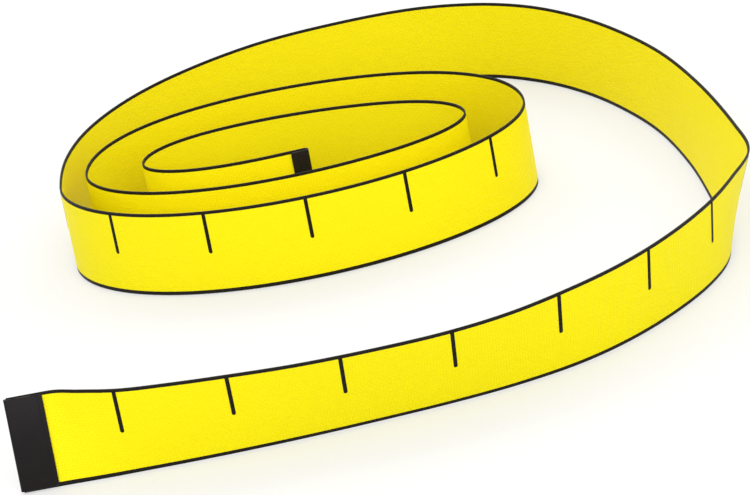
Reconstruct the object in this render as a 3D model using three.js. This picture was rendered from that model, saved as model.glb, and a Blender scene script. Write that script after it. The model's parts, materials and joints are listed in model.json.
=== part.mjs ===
import * as THREE from 'three';

// Cloth tape measure, loosely coiled, standing on its edge with its free tail swept round the coil.
// Millimetres, +Z up. The tape is one strip of coated cloth with a folded metal tip on each end. It is laid
// out here from its outer end: along the front from left to right, round the far side, then into the coil.

// Tape
const tapeWidth = 22.2;
const tapeThickness = 0.5;
const bendSlit = 0.3; // slit across the cloth where the tail bends away from the coil

// Folded tips
const tipSheet = 0.35;
const tipClearance = 0.1; // between the cloth and each leaf of a tip
const tipInset = 0.3; // a tip stops this far inside the tape's long edges
const outerTipLength = 8.9;
const innerTipLength = 4.6;
const straightRun = 1; // straight cloth behind each tip before the first curve

// Coil: half ovals, along the front and the back in turn, from the left end of the outer turn inwards
const coilTurns = 2.265;
const coilReach = 59.4; // from the coil's middle to the ends of the outer turn
const coilFrontDepth = 35.3;
const coilBackDepth = 38.6;
const endStep = 7.3; // after the outer turn's two ends, each further end lies this much further in
const frontStep = 14.8; // from one turn's front to the next
const backStep = 19.3; // from one turn's back to the next
const innerLeftShift = 5; // the inner ovals lie a little askew: their left ends sit back,
const innerRightShift = -1; // their right ends sit forward,
const innerDrift = -0.6; // and they lie a little to the left
const frontSkew = 0.9; // each front bulges on its left side by this much more than the one round it
const backShoulder = 3.2; // the outer back is fuller than an oval on both sides, and the inner ones less so

// Free tail, from behind the outer tip to the coil's left end. Each row has a place on the floor, to the
// right of and behind the coil's left end, and the lean of the tape outwards from upright, in degrees.
const tailPoints = [
  [-4.1, -121.7, -15],
  [3.5, -121.8, -5],
  [12.5, -121.8, 4],
  [24.5, -121.8, 8.5],
  [37.5, -121.5, 12],
  [52.5, -120.7, 15.5],
  [69.5, -119.2, 17.5],
  [86.5, -117.2, 18],
  [101.5, -114.4, 16],
  [116, -109.8, 12],
  [128.5, -103, 10],
  [140, -93.8, 8.5],
  [150.4, -82.4, 7.5],
  [157.2, -70, 9.5],
  [159.6, -54, 21],
  [159, -38, 20.5],
  [157.2, -12, 14],
  [152.8, 13, 9],
  [145.4, 34, 5.5],
  [136.4, 51, 3],
  [125.4, 64.5, 1],
  [112, 74.3, -2],
  [95, 78.2, 0],
  [74.5, 78, 0],
  [54.5, 74.3, 0],
  [35.5, 65.3, 0],
  [19.7, 52.8, 0],
  [8, 36.7, 0],
  [1.7, 19, 0],
  [0, 0, 0],
];

// Fineness of the faceted cloth
const ringStep = 3;
const ringTurn = THREE.MathUtils.degToRad(9);
const spanSamples = 40; // fine points on each span of the tail
const halfOvalSamples = 160; // fine points on each half oval
const foldSegments = 10; // round the fold of a tip

const clothYellow = new THREE.MeshStandardMaterial({ color: 0xfff100, roughness: 0.6, metalness: 0 });
const tipBlack = new THREE.MeshStandardMaterial({ color: 0x231f20, roughness: 0.35, metalness: 0.3 });

// A place on the route: x and y on the floor, and the lean in radians as the third value.
function place(x, y, leanDegrees) {
  return new THREE.Vector3(x, y, THREE.MathUtils.degToRad(leanDegrees));
}

// The tail as a smooth curve through its points, leaving the last one along the coil's first oval.
function tailRoute() {
  const points = tailPoints.map(([right, back, lean]) => place(right - coilReach, back, lean));
  const last = points.length - 1;
  const slopes = points.map((point, i) => {
    const before = points[Math.max(i - 1, 0)];
    const after = points[Math.min(i + 1, last)];
    return after.clone().sub(before).multiplyScalar(0.5);
  });
  slopes[0].copy(points[1]).sub(points[0]).setZ(0);
  const lastSpan = points[last].clone().sub(points[last - 1]);
  slopes[last].set(0, -Math.hypot(lastSpan.x, lastSpan.y), 0);
  const route = [];
  for (let i = 0; i < last; i++) {
    for (let k = 0; k < spanSamples; k++) {
      const u = k / spanSamples;
      const point = points[i].clone().multiplyScalar((1 + 2 * u) * (1 - u) ** 2);
      point.addScaledVector(slopes[i], u * (1 - u) ** 2);
      point.addScaledVector(points[i + 1], u * u * (3 - 2 * u));
      point.addScaledVector(slopes[i + 1], u * u * (u - 1));
      route.push(point);
    }
  }
  return route;
}

// The ends of the half ovals: even ones on the left, odd ones on the right.
function ovalEnd(index) {
  const reach = coilReach - endStep * Math.max(0, index - 1);
  const onLeft = index % 2 === 0;
  const end = place(onLeft ? -reach : reach, 0, 0);
  if (index < 2) return end;
  end.x += innerDrift;
  end.y += onLeft ? innerLeftShift : innerRightShift;
  return end;
}

function coilRoute() {
  const halfTurns = coilTurns * 2;
  const route = [];
  for (let index = 0; index < halfTurns; index++) {
    const start = ovalEnd(index);
    const middle = start.clone().add(ovalEnd(index + 1)).multiplyScalar(0.5);
    const turn = Math.floor(index / 2);
    const alongFront = index % 2 === 0;
    const side = alongFront ? turn * frontStep - coilFrontDepth : coilBackDepth - turn * backStep;
    const share = Math.min(1, halfTurns - index);
    const samples = Math.ceil(halfOvalSamples * share);
    for (let k = 0; k < samples; k++) {
      const angle = (Math.PI * share * k) / samples;
      const point = start.clone().sub(middle).multiplyScalar(Math.cos(angle)).add(middle);
      const skewed = -frontSkew * (turn + 1) * Math.sin(2 * angle);
      const fuller = (backShoulder / (turn + 1)) * Math.sin(angle) * Math.cos(angle) ** 2;
      point.y += (side - middle.y) * Math.sin(angle) + (alongFront ? skewed : fuller);
      route.push(point);
    }
  }
  return route;
}

// A straight end of the given length, carried on past the first of two places.
function straightPast(from, next, length) {
  const away = new THREE.Vector2(from.x - next.x, from.y - next.y).normalize().multiplyScalar(length);
  return new THREE.Vector3(from.x + away.x, from.y + away.y, from.z);
}

// Both radii of a tip's fold, and the straight cloth that each tip needs
const foldInner = tapeThickness / 2 + tipClearance;
const foldOuter = foldInner + tipSheet;
const outerRun = outerTipLength - foldOuter + straightRun;
const innerRun = innerTipLength - foldOuter + straightRun;

const tail = tailRoute();
const coil = coilRoute();
const outerEnd = straightPast(tail[0], tail[1], outerRun);
const innerEnd = straightPast(coil.at(-1), coil.at(-2), innerRun);
const route = [outerEnd, ...tail, ...coil, innerEnd];

// Distance along the tape at each place of the route, and where the tail gives way to the coil
const distances = [0];
for (let i = 1; i < route.length; i++) {
  distances.push(distances[i - 1] + Math.hypot(route[i].x - route[i - 1].x, route[i].y - route[i - 1].y));
}
const tapeLength = distances.at(-1);
const bendAt = distances[1 + tail.length];

// The place on the route at a distance along the tape.
function placeAt(distance) {
  const next = THREE.MathUtils.clamp(distances.findIndex((d) => d >= distance), 1, route.length - 1);
  const share = (distance - distances[next - 1]) / (distances[next] - distances[next - 1]);
  return route[next - 1].clone().lerp(route[next], share);
}

// How the cloth stands at a distance along the tape: its lower edge's middle, and the directions along it,
// up its width and out of its printed face. A leaning tape stands on the lower corner of its edge.
function stance(distance) {
  const reach = straightRun / 2;
  const ahead = placeAt(Math.min(distance + reach, tapeLength));
  const behind = placeAt(Math.max(distance - reach, 0));
  const { x, y, z: lean } = placeAt(distance);
  const along = new THREE.Vector3(ahead.x - behind.x, ahead.y - behind.y, 0).normalize();
  const sideways = new THREE.Vector3(along.y, -along.x, 0);
  const up = sideways.clone().multiplyScalar(Math.sin(lean)).setZ(Math.cos(lean));
  const out = sideways.clone().multiplyScalar(Math.cos(lean)).setZ(-Math.sin(lean));
  const foot = new THREE.Vector3(x, y, (tapeThickness / 2) * Math.abs(Math.sin(lean)));
  return { foot, along, up, out };
}

// Distances of the rings that a stretch of cloth needs, closer together where it curves.
function ringDistances(start, end) {
  const rings = [start];
  let heading = stance(start).along;
  for (const distance of distances) {
    const last = rings.at(-1);
    if (distance <= last || distance >= end - tapeThickness) continue;
    const along = stance(distance).along;
    if (distance - last < ringStep && along.angleTo(heading) < ringTurn) continue;
    rings.push(distance);
    heading = along;
  }
  rings.push(end);
  return rings;
}

// One stretch of cloth as a closed solid: four corners at each ring, sides between the rings, and square ends.
function clothGeometry(start, end) {
  const positions = [];
  const faces = [];
  const around = 4;
  const rings = ringDistances(start, end);
  for (const distance of rings) {
    const { foot, up, out } = stance(distance);
    const head = foot.clone().addScaledVector(up, tapeWidth);
    const half = tapeThickness / 2;
    const corners = [
      foot.clone().addScaledVector(out, half),
      head.clone().addScaledVector(out, half),
      head.clone().addScaledVector(out, -half),
      foot.clone().addScaledVector(out, -half),
    ];
    corners.forEach((corner) => positions.push(...corner.toArray()));
  }
  for (let ring = 0; ring < rings.length - 1; ring++) {
    for (let corner = 0; corner < around; corner++) {
      const a = ring * around + corner;
      const b = ring * around + ((corner + 1) % around);
      faces.push(a, a + around, b + around, a, b + around, b);
    }
  }
  const lastRing = (rings.length - 1) * around;
  faces.push(0, 1, 2, 0, 2, 3);
  faces.push(lastRing, lastRing + 2, lastRing + 1, lastRing, lastRing + 3, lastRing + 2);
  const geometry = new THREE.BufferGeometry();
  geometry.setAttribute('position', new THREE.Float32BufferAttribute(positions, 3));
  geometry.setIndex(faces);
  geometry.computeVertexNormals();
  return geometry;
}

// A tip: sheet folded round the end of the tape, open at the mouth and at both long edges.
function tipGeometry(length) {
  const mouth = length - foldOuter;
  const fold = new THREE.Shape();
  fold.moveTo(mouth, -foldOuter);
  fold.lineTo(mouth, -foldInner);
  fold.lineTo(0, -foldInner);
  fold.absarc(0, 0, foldInner, -Math.PI / 2, Math.PI / 2, true);
  fold.lineTo(mouth, foldInner);
  fold.lineTo(mouth, foldOuter);
  fold.lineTo(0, foldOuter);
  fold.absarc(0, 0, foldOuter, Math.PI / 2, -Math.PI / 2, false);
  fold.closePath();
  const depth = tapeWidth - 2 * tipInset;
  return new THREE.ExtrudeGeometry(fold, { depth, bevelEnabled: false, curveSegments: foldSegments });
}

// Puts a tip on the end of the tape at a distance, with its mouth towards the rest of the tape.
function tipMesh(name, length, distance, towardsTape) {
  const { foot, along, up } = stance(distance);
  const inward = along.clone().multiplyScalar(towardsTape);
  const across = up.clone().cross(inward);
  const mesh = new THREE.Mesh(tipGeometry(length), tipBlack.clone());
  mesh.name = name;
  mesh.quaternion.setFromRotationMatrix(new THREE.Matrix4().makeBasis(inward, across, up));
  mesh.position.copy(foot).addScaledVector(up, tipInset);
  return mesh;
}

function clothMesh(name, start, end) {
  const mesh = new THREE.Mesh(clothGeometry(start, end), clothYellow.clone());
  mesh.name = name;
  return mesh;
}

// The least clear distance between places of the tape that are further apart along it than twice its width.
function leastGap() {
  const stances = ringDistances(0, tapeLength).map((distance) => ({ distance, ...stance(distance) }));
  let least = Infinity;
  stances.forEach((one, i) => {
    for (const other of stances.slice(i + 1)) {
      if (other.distance - one.distance < 2 * tapeWidth) continue;
      const low = one.foot.distanceTo(other.foot);
      const oneHead = one.foot.clone().addScaledVector(one.up, tapeWidth);
      const high = other.foot.clone().addScaledVector(other.up, tapeWidth).distanceTo(oneHead);
      least = Math.min(least, low - tapeThickness, high - tapeThickness);
    }
  });
  return least;
}

const parts = new THREE.Group();
parts.add(clothMesh('tape_tail', 0, bendAt - bendSlit / 2));
parts.add(clothMesh('tape_coil', bendAt + bendSlit / 2, tapeLength));
parts.add(tipMesh('outer_tip', outerTipLength, 0, 1));
parts.add(tipMesh('inner_tip', innerTipLength, tapeLength, -1));

// The origin is under the middle of the whole tape measure, on the surface that it stands on.
const box = new THREE.Box3().setFromObject(parts, true);
const middle = box.getCenter(new THREE.Vector3());
parts.position.set(-middle.x, -middle.y, -box.min.z);

const tapeMeasure = new THREE.Group();
tapeMeasure.add(parts);
tapeMeasure.updateMatrixWorld(true);

const size = box.getSize(new THREE.Vector3());
console.log(`size ${size.x.toFixed(1)} x ${size.y.toFixed(1)} x ${size.z.toFixed(2)} mm`);
console.log(`tape length ${tapeLength.toFixed(1)} mm, tail ${bendAt.toFixed(1)} mm, ${coilTurns} turns`);
console.log(`least gap of the tape to itself ${leastGap().toFixed(2)} mm`);

export default tapeMeasure;
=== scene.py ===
import bpy
import bmesh
import json
from bisect import bisect_left
from math import cos, floor, hypot, pi, radians, sin, sqrt
from mathutils import Matrix, Vector


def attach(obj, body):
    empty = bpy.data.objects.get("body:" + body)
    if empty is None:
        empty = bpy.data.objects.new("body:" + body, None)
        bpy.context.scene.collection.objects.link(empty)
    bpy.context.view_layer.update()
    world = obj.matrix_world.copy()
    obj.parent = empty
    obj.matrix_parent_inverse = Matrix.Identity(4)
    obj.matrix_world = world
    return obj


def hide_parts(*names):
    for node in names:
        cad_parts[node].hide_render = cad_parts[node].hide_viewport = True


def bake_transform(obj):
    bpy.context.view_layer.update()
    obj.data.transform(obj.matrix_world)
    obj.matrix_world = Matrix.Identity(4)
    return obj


# Cloth tape measure: the strip is cut flat, printed, then rolled along its route on its edge.

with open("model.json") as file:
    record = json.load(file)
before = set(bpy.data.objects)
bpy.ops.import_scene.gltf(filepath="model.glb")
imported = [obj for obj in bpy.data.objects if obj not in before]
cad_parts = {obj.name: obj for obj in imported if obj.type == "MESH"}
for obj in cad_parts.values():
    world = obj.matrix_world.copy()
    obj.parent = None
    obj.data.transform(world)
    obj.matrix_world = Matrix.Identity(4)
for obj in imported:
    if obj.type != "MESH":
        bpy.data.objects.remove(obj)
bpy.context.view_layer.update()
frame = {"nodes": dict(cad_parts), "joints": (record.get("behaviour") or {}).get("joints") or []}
print("frame loaded, nodes:", sorted(frame["nodes"]))

scene = bpy.context.scene
scene.view_settings.view_transform = "Standard"

# Metres, as everything below
tape = {
    "width": 0.0222,
    "thickness": 0.0005,
    "upperLine": 0.00075,     # dark lines along the long edges
    "lowerLine": 0.00105,
    "edgeRound": 0.00012,
    "step": 0.001,            # along the strip
    "across": 8,
    "bendBefore": 0.070,      # the bending piece starts this far before the bend
    "bendAfter": 0.034,
    "skinMargin": 0.003,      # between the rows of the strip's texture map
}
tiny = tape["thickness"] / 100   # closer than this is the same place

coil = {
    "turns": 2.265,
    "reach": 0.0594,
    "frontDepth": 0.0353,
    "backDepth": 0.0386,
    "endStep": 0.0073,
    "frontStep": 0.0148,
    "backStep": 0.0193,
    "leftShift": 0.005,       # the inner ovals lie askew
    "rightShift": -0.001,
    "drift": -0.0006,
    "frontSkew": 0.0009,      # more for each turn inwards
    "backShoulder": 0.0032,   # less for each turn inwards
    "samples": 160,           # on each half oval
}

# Right of and behind the coil's left end, then the lean outwards in degrees
tail = {
    "points": [
        (-0.0041, -0.1217, -15), (0.0035, -0.1218, -5), (0.0125, -0.1218, 4), (0.0245, -0.1218, 8.5),
        (0.0375, -0.1215, 12), (0.0525, -0.1207, 15.5), (0.0695, -0.1192, 17.5), (0.0865, -0.1172, 18),
        (0.1015, -0.1144, 16), (0.116, -0.1098, 12), (0.1285, -0.103, 10), (0.140, -0.0938, 8.5),
        (0.1504, -0.0824, 7.5), (0.1572, -0.070, 9.5), (0.1596, -0.054, 21), (0.159, -0.038, 20.5),
        (0.1572, -0.012, 14), (0.1528, 0.013, 9), (0.1454, 0.034, 5.5), (0.1364, 0.051, 3),
        (0.1254, 0.0645, 1), (0.112, 0.0743, -2), (0.095, 0.0782, 0), (0.0745, 0.078, 0),
        (0.0545, 0.0743, 0), (0.0355, 0.0653, 0), (0.0197, 0.0528, 0), (0.008, 0.0367, 0),
        (0.0017, 0.019, 0), (0, 0, 0),
    ],
    "samples": 40,            # on each span
}

tip = {
    "sheet": 0.00035,
    "clearance": 0.0001,
    "inset": 0.0003,
    "outerLength": 0.0089,
    "innerLength": 0.0046,
    "straightRun": 0.001,     # straight cloth behind a tip
    "corner": 0.0007,
    "cornerSegments": 4,
    "foldSegments": 14,
    "rim": 0.00007,
    "rimDegrees": 80,         # a sharper edge than this is a rim
    "crimpFromMouth": 0.0013,
    "crimpHalf": 0.0004,
    "crimpDepth": 0.00008,
    "crimpCuts": 3,           # on each side of its middle
}
foldRadius = tape["thickness"] / 2 + tip["clearance"] + tip["sheet"] / 2   # middle of the sheet
foldOuter = foldRadius + tip["sheet"] / 2


# Route

# A smooth curve through the points, the lean as its third measure
def tailRoute():
    points = [Vector((x - coil["reach"], y, radians(lean))) for x, y, lean in tail["points"]]
    last = len(points) - 1
    slopes = [(points[min(i + 1, last)] - points[max(i - 1, 0)]) / 2 for i in range(last + 1)]
    slopes[0] = Vector((*(points[1] - points[0]).xy, 0))
    slopes[last] = Vector((0, -(points[last] - points[last - 1]).xy.length, 0))
    route = []
    for i in range(last):
        for k in range(tail["samples"]):
            u = k / tail["samples"]
            route.append(points[i] * (1 + 2 * u) * (1 - u) ** 2 + slopes[i] * u * (1 - u) ** 2
                         + points[i + 1] * u * u * (3 - 2 * u) + slopes[i + 1] * u * u * (u - 1))
    return route


def ovalEnd(index):
    reach = coil["reach"] - coil["endStep"] * max(0, index - 1)
    onLeft = index % 2 == 0
    end = Vector((-reach if onLeft else reach, 0, 0))
    if index > 1:
        end += Vector((coil["drift"], coil["leftShift"] if onLeft else coil["rightShift"], 0))
    return end


# Half ovals, a front one and a back one by turns, each smaller than the last
def coilRoute():
    route = []
    index = 0
    while index < coil["turns"] * 2:
        start = ovalEnd(index)
        middle = (start + ovalEnd(index + 1)) / 2
        turn = floor(index / 2)
        onFront = index % 2 == 0
        frontSide = turn * coil["frontStep"] - coil["frontDepth"]
        backSide = coil["backDepth"] - turn * coil["backStep"]
        depth = (frontSide if onFront else backSide) - middle.y
        share = min(1, coil["turns"] * 2 - index)
        samples = round(coil["samples"] * share)
        for k in range(samples):
            angle = pi * share * k / samples
            skewed = -coil["frontSkew"] * (turn + 1) * sin(2 * angle)
            fuller = coil["backShoulder"] / (turn + 1) * sin(angle) * cos(angle) ** 2
            outwards = Vector((0, depth * sin(angle) + (skewed if onFront else fuller), 0))
            route.append(middle + (start - middle) * cos(angle) + outwards)
        index += 1
    return route


def straightPast(place, following, length):
    away = (place.xy - following.xy).normalized() * length
    return Vector((place.x + away.x, place.y + away.y, place.z))


tailPlaces = tailRoute()
coilPlaces = coilRoute()
outerRun = tip["outerLength"] - foldOuter + tip["straightRun"]
innerRun = tip["innerLength"] - foldOuter + tip["straightRun"]
places = [straightPast(tailPlaces[0], tailPlaces[1], outerRun)] + tailPlaces + coilPlaces
places.append(straightPast(coilPlaces[-1], coilPlaces[-2], innerRun))

distances = [0]
for before, after in zip(places, places[1:]):
    distances.append(distances[-1] + hypot(after.x - before.x, after.y - before.y))
tapeLength = distances[-1]
bendIndex = 1 + len(tailPlaces)
bendAt = distances[bendIndex]

# The coil's middle in the frame, from the bend at the coil's left end
bendJoint = frame["joints"][0]
coilMiddle = Vector((bendJoint["pos_m"][0] + coil["reach"], bendJoint["pos_m"][1], 0))
print(f"route: {tapeLength * 1000:.1f} mm of tape, bend at {bendAt * 1000:.1f} mm,",
      "coil middle at", coilMiddle[:])


def placeAt(distance):
    following = min(max(bisect_left(distances, distance), 1), len(distances) - 1)
    share = (distance - distances[following - 1]) / (distances[following] - distances[following - 1])
    return places[following - 1].lerp(places[following], share)


stances = {}   # by distance, as many vertices share one


# The tape's foot at a distance from its outer end, and its directions there
def stance(distance):
    key = round(distance, 7)
    if key not in stances:
        near = tip["straightRun"] / 2
        inside = min(max(distance, 0), tapeLength)
        ahead, behind = placeAt(min(inside + near, tapeLength)), placeAt(max(inside - near, 0))
        along = (ahead - behind).xy.normalized()
        here = placeAt(inside)
        lean = here.z
        sideways = Vector((along.y, -along.x, 0))
        foot = Vector((here.x, here.y, tape["thickness"] / 2 * abs(sin(lean)))) + coilMiddle
        up = sideways * sin(lean) + Vector((0, 0, cos(lean)))
        out = sideways * cos(lean) - Vector((0, 0, sin(lean)))
        stances[key] = foot, along.to_3d(), up, out
    return stances[key]


# Flat work: x along the tape from its outer end, y up its width, z out of its printed face

alongTape, upTape = Vector((1, 0, 0)), Vector((0, 1, 0))


def layBlank(bm, start, length, low, high, level, cellsAlong=1, cellsUp=1):
    middle = Matrix.Translation((start + length / 2, (low + high) / 2, level))
    stretch = Matrix.Diagonal((length, high - low, 1, 1))
    bmesh.ops.create_grid(bm, x_segments=cellsAlong, y_segments=cellsUp, size=0.5,   # 1 by 1
                          matrix=middle @ stretch)


def cutAcross(bm, direction, distance):
    everything = bm.verts[:] + bm.edges[:] + bm.faces[:]
    bmesh.ops.bisect_plane(bm, geom=everything, plane_co=direction * distance, plane_no=direction)


def roundOff(bm, geom, radius, affect="EDGES", segments=2):
    return bmesh.ops.bevel(bm, geom=geom, offset=radius, offset_type="OFFSET", affect=affect,
                           segments=segments, profile=0.5, material=-1)


def isCutEnd(face):
    return abs(face.normal.x) > 0.5   # it faces along the tape


def layFlatMap(bm):
    flat = bm.loops.layers.uv.new("flatTape")
    for face in bm.faces:
        for loop in face.loops:
            loop[flat].uv = loop.vert.co.xy


# The strip's whole skin in rows on a square, for baked textures: front, upper edge, reverse, lower edge
def laySkinMap(bm, start, length):
    width, thickness, margin = tape["width"], tape["thickness"], tape["skinMargin"]
    around = 2 * (width + thickness)
    rows = max(1, round(sqrt(length / around)))
    rowLength = length / rows
    across, down = rowLength + 2 * margin, rows * (around + margin) + margin
    skin = bm.loops.layers.uv.new("OFBake")
    for face in bm.faces:
        middle = face.calc_center_median()
        row = min(floor((middle.x - start) / rowLength), rows - 1)
        half = 1 if middle.y > width / 2 else -1
        for loop in face.loops:
            x, y, z = loop.vert.co
            along = x - start - row * rowLength
            behind = thickness / 2 - z
            if isCutEnd(face):
                along += (margin / 2 + behind) * face.normal.x   # beside its row
                wayRound = y
            elif middle.z > -tiny:
                wayRound = y + half * behind
            else:
                wayRound = 2 * width + thickness - y - half * (thickness - behind)
            upwards = margin + row * (around + margin) + thickness + wayRound
            loop[skin].uv = (margin + along) / across, upwards / down


def rollAlongRoute(bm):
    for v in bm.verts:
        foot, _, up, out = stance(v.co.x)
        v.co = foot + up * v.co.y + out * v.co.z


def meshObject(name, bm, materials, sharpDegrees=30):
    mesh = bpy.data.meshes.new(name)
    bm.to_mesh(mesh)
    bm.free()
    for material in materials:
        mesh.materials.append(material)
    mesh.shade_smooth()
    mesh.set_sharp_from_angle(angle=radians(sharpDegrees))
    piece = bpy.data.objects.new(name, mesh)
    scene.collection.objects.link(piece)
    return piece


# Materials

def addNode(tree, kind, **settings):
    node = tree.nodes.new(kind)
    for setting, value in settings.items():
        setattr(node, setting, value)
    return node


def feed(tree, socket, value):
    if isinstance(value, bpy.types.NodeSocket):
        tree.links.new(value, socket)
    elif value is not None:
        socket.default_value = (*value, 1) if isinstance(value, tuple) else value


def mathNode(tree, operation, first, second=None):
    node = addNode(tree, "ShaderNodeMath", operation=operation)
    feed(tree, node.inputs[0], first)
    feed(tree, node.inputs[1], second)
    return node.outputs[0]


def mixColours(tree, amount, first, second):
    mix = addNode(tree, "ShaderNodeMix", data_type="RGBA")
    factor, firstColour, secondColour = mix.inputs[0], mix.inputs[6], mix.inputs[7]
    feed(tree, factor, amount)
    feed(tree, firstColour, first)
    feed(tree, secondColour, second)
    return mix.outputs[2]


def groupWithSockets(name, inputs, outputs):
    group = bpy.data.node_groups.new(name, "ShaderNodeTree")
    for direction, sockets in (("INPUT", inputs), ("OUTPUT", outputs)):
        for socket, kind in sockets:
            group.interface.new_socket(socket, in_out=direction, socket_type=kind)
    return group, addNode(group, "NodeGroupInput"), addNode(group, "NodeGroupOutput")


cloth = {
    "printedSide": (0.99, 0.88, 0.003),
    "printedShade": (0.93, 0.79, 0.002),
    # Painted shade: the reverse side's yellow is painted darker than the printed side, standing in for
    # shade on the inner faces of the coil and tail
    "shadedReverseSide": (0.93, 0.81, 0.004),
    "reverseShade": (0.85, 0.72, 0.003),
    "edge": (0.006, 0.0048, 0.0045),
    "edgeShade": (0.015, 0.012, 0.008),
    "ink": (0.005, 0.0043, 0.0043),
    "inkShade": (0.013, 0.011, 0.010),
    "threadsPerMetre": 1500,
    "threadDip": 0.6,         # a thread's height where it goes under, as a share
    "threadContrast": 0.2,
    # painted shade: how much darker the weave's valleys are painted, on top of their bump
    "valleyShadeContrast": 0.6,
    "patchContrast": 0.3,
    "patchesPerMetre": 45,
    "relief": 0.00006,        # of the weave
    "roughness": (0.42, 0.58),
    "gloss": 0.12,
}


# Plain weave showing through the coating: a thread along the tape lies on top at every other crossing
def makeWeaveGroup():
    group, given, result = groupWithSockets(
        "tapeWeave",
        [("Flat Place", "NodeSocketVector"), ("Threads per Metre", "NodeSocketFloat")],
        [(output, "NodeSocketFloat") for output in ("Height", "Long Thread", "Valley Shade")],
    )
    split = addNode(group, "ShaderNodeSeparateXYZ")
    feed(group, split.inputs[0], given.outputs["Flat Place"])
    turns = mathNode(group, "MULTIPLY", given.outputs["Threads per Metre"], pi)
    waveAlong = mathNode(group, "SINE", mathNode(group, "MULTIPLY", split.outputs["X"], turns))
    waveUp = mathNode(group, "SINE", mathNode(group, "MULTIPLY", split.outputs["Y"], turns))
    longOnTop = mathNode(group, "GREATER_THAN", mathNode(group, "MULTIPLY", waveAlong, waveUp), 0)
    along, up = mathNode(group, "ABSOLUTE", waveAlong), mathNode(group, "ABSOLUTE", waveUp)
    dip = cloth["threadDip"]
    heights = []
    for lengthwise, crosswise in ((up, along), (along, up)):
        roundness = mathNode(group, "SQRT", crosswise)
        rise = mathNode(group, "ADD", mathNode(group, "MULTIPLY", lengthwise, 1 - dip), dip)
        heights.append(mathNode(group, "MULTIPLY", roundness, rise))
    choose = addNode(group, "ShaderNodeMix")
    for socket, value in zip(choose.inputs, (longOnTop, None, *heights)):
        feed(group, socket, value)
    height = choose.outputs[0]
    feed(group, result.inputs["Height"], height)
    feed(group, result.inputs["Long Thread"], longOnTop)
    # Valley: one where a thread dips, zero on its crown, used to paint shade into the weave's hollows
    feed(group, result.inputs["Valley Shade"], mathNode(group, "SUBTRACT", 1, height))
    return group


handlingNoise = {
    "Patches": {"timesAsMany": 1, "detail": 3},
    "Specks": {"timesAsMany": 14, "detail": 2},
}


# Uneven colour and polish from handling, on any coordinates
def makeHandlingGroup():
    group, given, result = groupWithSockets(
        "handling",
        [("Place", "NodeSocketVector"), ("Patches per Metre", "NodeSocketFloat")],
        [(output, "NodeSocketFloat") for output in handlingNoise],
    )
    perMetre = given.outputs["Patches per Metre"]
    for output, kind in handlingNoise.items():
        noise = addNode(group, "ShaderNodeTexNoise")
        feed(group, noise.inputs["Detail"], kind["detail"])
        feed(group, noise.inputs["Vector"], given.outputs["Place"])
        feed(group, noise.inputs["Scale"], mathNode(group, "MULTIPLY", perMetre, kind["timesAsMany"]))
        feed(group, result.inputs[output], noise.outputs["Fac"])
    return group


weaveGroup = makeWeaveGroup()
handlingGroup = makeHandlingGroup()


def newMaterial(name):
    material = bpy.data.materials.new(name)
    material.use_nodes = True
    return material, material.node_tree, material.node_tree.nodes["Principled BSDF"]


def useGroup(tree, group, place, perMetre):
    node = addNode(tree, "ShaderNodeGroup", node_tree=group)
    feed(tree, node.inputs[0], place)
    feed(tree, node.inputs[1], perMetre)
    return node.outputs


def finishSurface(tree, surface, look, specks, height):
    polish = addNode(tree, "ShaderNodeMapRange")
    polish.inputs["To Min"].default_value, polish.inputs["To Max"].default_value = look["roughness"]
    feed(tree, polish.inputs["Value"], specks)
    feed(tree, surface.inputs["Roughness"], polish.outputs["Result"])
    bump = addNode(tree, "ShaderNodeBump")
    feed(tree, bump.inputs["Distance"], look["relief"])
    feed(tree, bump.inputs["Height"], height)
    feed(tree, surface.inputs["Normal"], bump.outputs["Normal"])
    feed(tree, surface.inputs["Specular IOR Level"], look["gloss"])


def makeClothMaterial(name, colour, shade):
    material, tree, surface = newMaterial(name)
    flat = addNode(tree, "ShaderNodeUVMap", uv_map="flatTape").outputs["UV"]
    weave = useGroup(tree, weaveGroup, flat, cloth["threadsPerMetre"])
    handling = useGroup(tree, handlingGroup, flat, cloth["patchesPerMetre"])
    thread = mathNode(tree, "MULTIPLY", weave["Long Thread"], cloth["threadContrast"])
    # Painted shade: the colour darkens in the weave's valleys as well as the bump
    valleyShade = mathNode(tree, "MULTIPLY", weave["Valley Shade"], cloth["valleyShadeContrast"])
    patch = mathNode(tree, "MULTIPLY", handling["Patches"], cloth["patchContrast"])
    shading = mathNode(tree, "ADD", mathNode(tree, "ADD", thread, valleyShade), patch)
    feed(tree, surface.inputs["Base Color"], mixColours(tree, shading, colour, shade))
    finishSurface(tree, surface, cloth, handling["Specks"], weave["Height"])
    return material


enamel = {
    "colour": (0.008, 0.006, 0.0068),
    "shade": (0.012, 0.0095, 0.0098),
    "worn": (0.16, 0.15, 0.14),      # bare metal along rubbed rims
    "wornShare": 0.7,
    "wornAbove": 0.5,                # only where a patch is stronger
    "patchesPerMetre": 260,
    "roughness": (0.28, 0.42),
    "relief": 0.00002,               # of the paint
    "gloss": 0.12,
}


def makeEnamelMaterial():
    material, tree, surface = newMaterial("tipEnamel")
    place = addNode(tree, "ShaderNodeTexCoord").outputs["Object"]
    handling = useGroup(tree, handlingGroup, place, enamel["patchesPerMetre"])
    paint = mixColours(tree, handling["Patches"], enamel["colour"], enamel["shade"])
    rim = addNode(tree, "ShaderNodeAttribute", attribute_name="rimWear").outputs["Fac"]
    inPatch = mathNode(tree, "GREATER_THAN", handling["Patches"], enamel["wornAbove"])
    rubbed = mathNode(tree, "MULTIPLY", rim, inPatch)
    bare = mathNode(tree, "MULTIPLY", rubbed, enamel["wornShare"])
    feed(tree, surface.inputs["Base Color"], mixColours(tree, bare, paint, enamel["worn"]))
    finishSurface(tree, surface, enamel, handling["Specks"], handling["Specks"])
    return material


printedCloth = makeClothMaterial("printedCloth", cloth["printedSide"], cloth["printedShade"])
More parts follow.
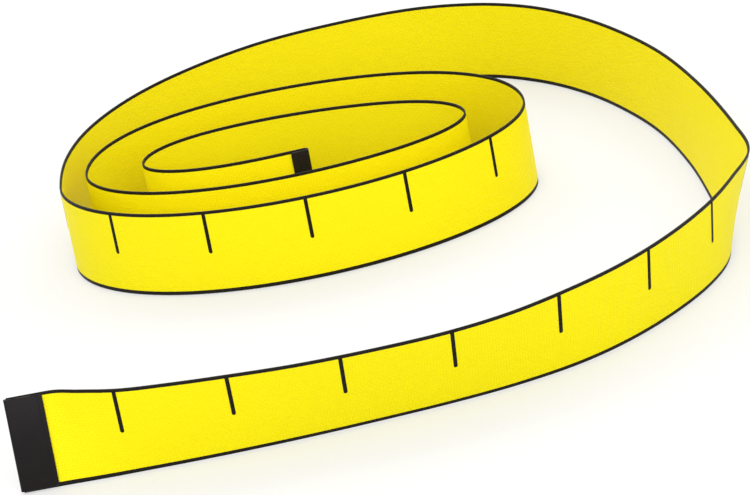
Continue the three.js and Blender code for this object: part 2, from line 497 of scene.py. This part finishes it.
# The reverse side's cloth carries painted shade: its yellow is darker than the printed side's
shadedReverseCloth = makeClothMaterial("shadedReverseCloth", cloth["shadedReverseSide"], cloth["reverseShade"])
edgeCloth = makeClothMaterial("edgeCloth", cloth["edge"], cloth["edgeShade"])
markInk = makeClothMaterial("markInk", cloth["ink"], cloth["inkShade"])
tipEnamel = makeEnamelMaterial()
clothSides = [printedCloth, shadedReverseCloth, edgeCloth]
onPrinted, onReverse, onEdge = range(len(clothSides))
print("materials made")


# Tape

def cutStrip(name, start, end):
    length = end - start
    width, thickness = tape["width"], tape["thickness"]
    lineTop, lineFoot = tape["lowerLine"], width - tape["upperLine"]
    bm = bmesh.new()
    layBlank(bm, start, length, 0, width, thickness / 2,
             cellsAlong=round(length / tape["step"]), cellsUp=tape["across"])
    for y in (lineTop, lineFoot):
        cutAcross(bm, upTape, y)
    bmesh.ops.solidify(bm, geom=bm.faces[:], thickness=thickness)
    longEdges = [e for e in bm.edges
                 if all(min(abs(v.co.y), abs(v.co.y - width)) < tiny for v in e.verts)
                 and abs(e.verts[0].co.z - e.verts[1].co.z) < tiny]
    roundOff(bm, longEdges, tape["edgeRound"])
    bm.normal_update()
    for face in bm.faces:
        y = face.calc_center_median().y
        if y < lineTop or y > lineFoot or isCutEnd(face):
            face.material_index = onEdge
        else:
            face.material_index = onPrinted if face.normal.z > 0 else onReverse
    layFlatMap(bm)
    laySkinMap(bm, start, length)
    rollAlongRoute(bm)
    piece = meshObject(name, bm, clothSides)
    return piece


bendStart = bendAt - tape["bendBefore"]
bendEnd = bendAt + tape["bendAfter"]
tapeTail = cutStrip("tapeTail", 0, bendStart)
tapeBend = cutStrip("tapeBend", bendStart, bendEnd)
tapeCoil = cutStrip("tapeCoil", bendEnd, tapeLength)
print("tape rolled, faces:", [len(piece.data.polygons) for piece in (tapeTail, tapeBend, tapeCoil)])


# Inch marks, on the printed side, from the upper edge down, measured from the outer tip's end

mark = {
    "spacing": 0.0254,
    "length": 0.0113,
    "width": 0.00092,
    "film": 0.00004,
    "segments": 16,
    "stretches": 6,           # short ones, to lie close on the twisted tail
    "coilTurns": 1,           # the turns further in are bare
}
lastMark = distances[bendIndex + 2 * mark["coilTurns"] * coil["samples"]]


def printMarks(name, start, end):
    bm = bmesh.new()
    radius = mark["width"] / 2
    lowest = tape["width"] - mark["length"] + radius
    straight = tape["width"] - tape["upperLine"] - lowest
    outFace = tape["thickness"] / 2 + mark["film"]
    for count in range(1, floor(tapeLength / mark["spacing"]) + 1):
        distance = count * mark["spacing"] - foldOuter
        if not start < distance <= end:
            continue
        made = bmesh.ops.create_circle(bm, cap_ends=True, segments=mark["segments"], radius=radius)
        upper = sorted((v for v in made["verts"] if v.co.y > tiny), key=lambda v: v.co.x)
        bmesh.ops.dissolve_verts(bm, verts=upper[1:-1])
        upper[0].co, upper[-1].co = (-radius, straight, 0), (radius, straight, 0)   # square upper end
        outline = upper[0].link_faces[0].verts[:]
        bmesh.ops.translate(bm, verts=outline, vec=(distance, lowest, outFace))
    for k in range(1, mark["stretches"]):
        cutAcross(bm, upTape, lowest + straight * k / mark["stretches"])
    bmesh.ops.solidify(bm, geom=bm.faces[:], thickness=mark["film"])
    bmesh.ops.recalc_face_normals(bm, faces=bm.faces[:])
    layFlatMap(bm)
    rollAlongRoute(bm)
    return meshObject(name, bm, [markInk])


tailMarks = printMarks("tailMarks", 0, bendStart)
bendMarks = printMarks("bendMarks", bendStart, bendEnd)
coilMarks = printMarks("coilMarks", bendEnd, lastMark)
print("marks printed")


# Tips: a blank with round corners, pressed, folded round the end of the tape

def foldTip(name, length, distance, towardsTape):
    leaf = length - foldOuter
    foldLength = pi * foldRadius
    blank = 2 * leaf + foldLength
    crimps = (tip["crimpFromMouth"], blank - tip["crimpFromMouth"])
    bm = bmesh.new()
    rimWear = bm.verts.layers.float.new("rimWear")
    layBlank(bm, 0, blank, tip["inset"], tape["width"] - tip["inset"], tip["sheet"] / 2)
    roundOff(bm, bm.verts[:], tip["corner"], "VERTICES", tip["cornerSegments"])
    for k in range(tip["foldSegments"] + 1):
        cutAcross(bm, alongTape, leaf + foldLength * k / tip["foldSegments"])
    for crimp in crimps:
        for k in range(-tip["crimpCuts"], tip["crimpCuts"] + 1):
            cutAcross(bm, alongTape, crimp + tip["crimpHalf"] * k / tip["crimpCuts"])
    bmesh.ops.solidify(bm, geom=bm.faces[:], thickness=tip["sheet"])
    rim = [e for e in bm.edges if e.calc_face_angle(0) > radians(tip["rimDegrees"])]
    rounded = roundOff(bm, rim, tip["rim"])
    rimFaces = set(rounded["faces"])
    for v in rounded["verts"]:
        v[rimWear] = float(rimFaces.issuperset(v.link_faces))
    foot, along, up, out = stance(distance)
    for v in bm.verts:
        x, y, z = v.co
        nearest = min(abs(x - crimp) for crimp in crimps)
        if nearest < tip["crimpHalf"]:
            z -= tip["crimpDepth"] * (1 + cos(pi * nearest / tip["crimpHalf"])) / 2
        turn = min(max((x - leaf) / foldRadius, 0), pi)
        straight = leaf - x if x < leaf else max(0, x - leaf - foldLength)
        inward = straight - (foldRadius + z) * sin(turn)
        outward = (foldRadius + z) * cos(turn)
        v.co = foot + up * y + along * inward * towardsTape + out * outward
    if bm.calc_volume(signed=True) < 0:   # one tip is folded the other way round
        bmesh.ops.reverse_faces(bm, faces=bm.faces[:])
    piece = meshObject(name, bm, [tipEnamel], sharpDegrees=50)
    return piece


outerTip = foldTip("outerTip", tip["outerLength"], 0, 1)
innerTip = foldTip("innerTip", tip["innerLength"], tapeLength, -1)
print("tips folded")


# What moves with what

bendPlace = stance(bendAt)[0]
for piece in (tapeBend, bendMarks):
    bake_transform(piece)
for piece in (tapeCoil, coilMarks, innerTip):
    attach(piece, "coil")
for piece in (tapeTail, tailMarks, outerTip):
    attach(piece, "tail")
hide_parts("tape_coil")
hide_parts("tape_tail")
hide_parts("tape_tail")
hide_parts("outer_tip")
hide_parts("inner_tip")
print("pieces ride on their bodies")


# Floor, light and camera

studio = {
    "floorHalf": 3,
    "floorDrop": 0.0002,
    "floorColour": 0.40,      # as the camera sees it, with floorGlow added
    "floorGlow": 0.5,
    "bounceColour": 0.60,     # as the tape sees it
    "worldStrength": 0.90,
    "lamps": [
        # place, watts, size
        ((-0.55, -1.05, 0.62), 1.4, 0.9),
        ((0.6, -1.0, 0.6), 2.2, 0.9),
        ((0.0, -1.1, 0.8), 4.0, 0.9),
        ((-0.5, 0.8, 0.9), 4.0, 0.9),
        ((0.6, 0.75, 0.9), 4.5, 0.9),
    ],
}


def seenRays(tree):
    rays = addNode(tree, "ShaderNodeLightPath").outputs
    seen = mathNode(tree, "MAXIMUM", rays["Is Camera Ray"], rays["Is Glossy Ray"])
    return mathNode(tree, "MAXIMUM", seen, rays["Is Transmission Ray"])


def makeFloor():
    bm = bmesh.new()
    bmesh.ops.create_grid(bm, x_segments=1, y_segments=1, size=studio["floorHalf"],
                          matrix=Matrix.Translation((0, 0, -studio["floorDrop"])))
    material, tree, surface = newMaterial("paleFloor")
    surface.inputs["Roughness"].default_value = 1
    surface.inputs["Specular IOR Level"].default_value = 0
    surface.inputs["Emission Color"].default_value = (1, 1, 1, 1)
    seen = seenRays(tree)
    bounce, shown = (studio["bounceColour"],) * 3, (studio["floorColour"],) * 3
    glow = mathNode(tree, "MULTIPLY", seen, studio["floorGlow"])
    feed(tree, surface.inputs["Base Color"], mixColours(tree, seen, bounce, shown))
    feed(tree, surface.inputs["Emission Strength"], glow)
    floorPlane = meshObject("floor", bm, [material])


def makeLight():
    world = bpy.data.worlds.new("studio")
    scene.world = world
    world.use_nodes = True
    tree = world.node_tree
    level = addNode(tree, "ShaderNodeMapRange")
    level.inputs["To Min"].default_value = studio["worldStrength"]
    level.inputs["To Max"].default_value = 1   # white where it is seen
    feed(tree, level.inputs["Value"], seenRays(tree))
    background = tree.nodes["Background"]
    background.inputs["Color"].default_value = (1, 1, 1, 1)
    feed(tree, background.inputs["Strength"], level.outputs["Result"])
    for place, watts, size in studio["lamps"]:
        lamp = bpy.data.lights.new("softbox", "AREA")
        lamp.energy, lamp.size = watts, size
        softbox = bpy.data.objects.new("softbox", lamp)
        softbox.location = place
        softbox.rotation_euler = (-Vector(place)).to_track_quat("-Z", "Y").to_euler()
        scene.collection.objects.link(softbox)


photoCamera = {
    "fromCoil": (0.01563, -0.93402, 0.40529),   # from the coil's middle on the floor
    "elevation": 24,
    "roll": 10.79,
    "lens": 192.2,
    "sensor": 36,
    "clip": (0.05, 20),
}


def makeCamera():
    data = bpy.data.cameras.new("photoCamera")
    data.lens, data.sensor_width = photoCamera["lens"], photoCamera["sensor"]
    data.sensor_fit = "HORIZONTAL"
    data.clip_start, data.clip_end = photoCamera["clip"]
    camera = bpy.data.objects.new("photoCamera", data)
    camera.matrix_world = (Matrix.Translation(coilMiddle + Vector(photoCamera["fromCoil"]))
                           @ Matrix.Rotation(radians(90 - photoCamera["elevation"]), 4, "X")
                           @ Matrix.Rotation(radians(-photoCamera["roll"]), 4, "Z"))
    scene.collection.objects.link(camera)
    scene.camera = camera


makeFloor()
makeLight()
makeCamera()
print("studio set")

bpy.context.view_layer.update()
